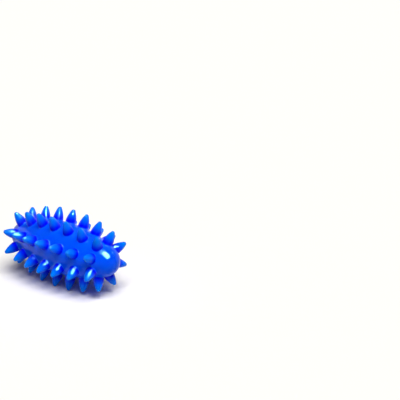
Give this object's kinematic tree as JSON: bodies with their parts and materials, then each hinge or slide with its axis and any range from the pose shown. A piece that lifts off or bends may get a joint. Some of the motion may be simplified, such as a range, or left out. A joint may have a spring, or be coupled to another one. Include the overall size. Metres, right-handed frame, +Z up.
{
  "type": "sensory ball",
  "caption": "Oblong hollow vinyl sensory ball with rows of blunt soft spikes, moulded in two halves joined lengthwise, with a filling valve closed by a pull-out plug.",
  "frame": {"origin": "on the floor under the middle of the roll, which lies level on its two lowest rows of spikes", "axes": "+X along the roll, +Z up, -Y to the front half and +Y out of the valve in the rear half"},
  "size_m": [0.095, 0.0482, 0.0483],
  "materials": {
    "skin_vinyl": "gloss",
    "sleeve_vinyl": "satin",
    "plug_vinyl": "satin"
  },
  "bodies": {
    "roll": {"front_half": "skin_vinyl", "rear_half": "skin_vinyl", "valve_sleeve": "sleeve_vinyl"},
    "plug": {"valve_plug": "plug_vinyl"}
  },
  "joints": [
    {"name": "plug_pull", "type": "slide", "parent": "roll", "child": "plug", "axis": [0, 1, 0], "range_m": [0, 0.012]}
  ]
}
